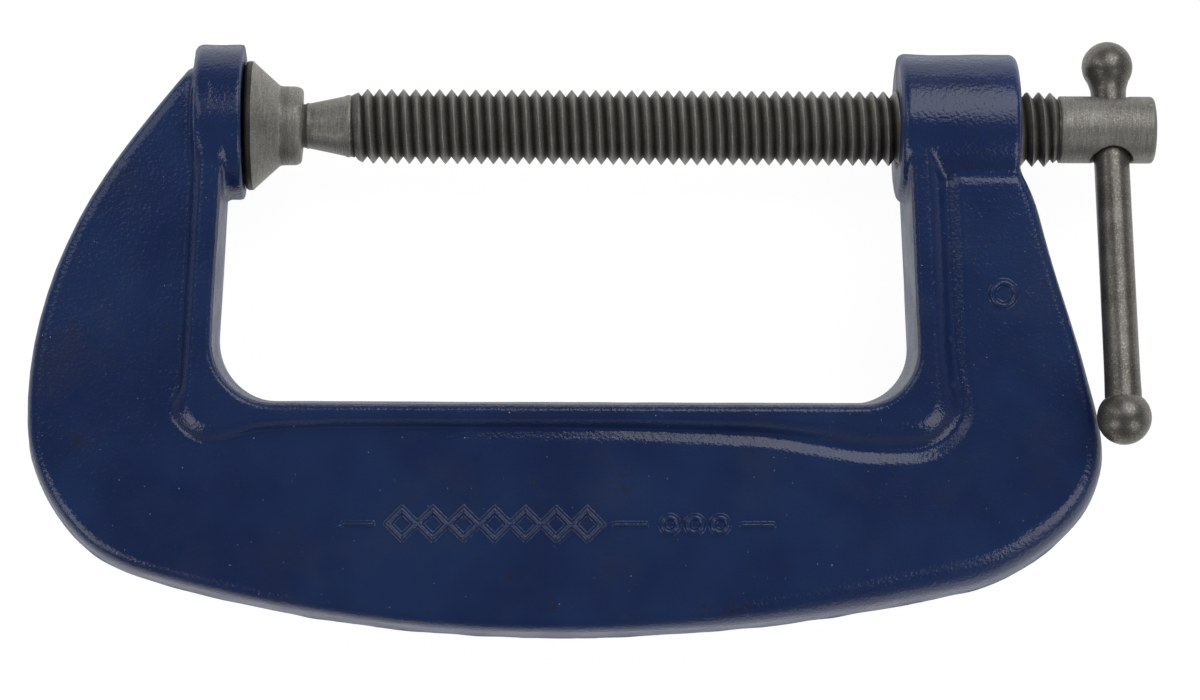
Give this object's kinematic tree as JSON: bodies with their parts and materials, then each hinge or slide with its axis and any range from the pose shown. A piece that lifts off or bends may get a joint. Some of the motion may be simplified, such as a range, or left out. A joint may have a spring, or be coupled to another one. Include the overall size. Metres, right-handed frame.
{
  "type": "c clamp",
  "caption": "Carpentry C-clamp: cast frame with anvil and tapped boss, threaded screw, swivel pad and sliding tommy bar.",
  "frame": {"origin": "middle of the clamp's footprint as it lies on its side, on the surface that it lies on", "axes": "+X along the screw from the anvil towards the tommy bar, +Y from the spine of the frame towards the screw, +Z square to the flat sides of the frame"},
  "size_m": [0.1909, 0.1016, 0.0324],
  "materials": {
    "frame_paint": "gloss paint over cast iron",
    "screw_steel": "matte phosphated",
    "pad_steel": "matte phosphated",
    "bar_steel": "matte phosphated"
  },
  "bodies": {
    "frame": {"frame": "frame_paint"},
    "swivel_pad": {"swivel_pad": "pad_steel"},
    "screw": {"screw": "screw_steel"},
    "tommy_bar": {"tommy_bar": "bar_steel", "bar_end_ball": "bar_steel"}
  },
  "joints": [
    {"name": "jaw_slide", "type": "slide", "parent": "frame", "child": "swivel_pad", "axis": [1, 0, 0], "range_m": [0, 0.0995]},
    {"name": "screw_turn", "type": "hinge", "parent": "swivel_pad", "child": "screw", "pos_m": [0, 0.0355, 0.013], "axis": [1, 0, 0], "range_deg": [0, 17640]},
    {"name": "bar_slide", "type": "slide", "parent": "screw", "child": "tommy_bar", "axis": [0, 0.9563, -0.2924], "range_m": [-0.0025, 0.042]}
  ],
  "couplings": [
    {"joint": "jaw_slide", "follows": "screw_turn", "m_per_rad": 0.00032308}
  ]
}
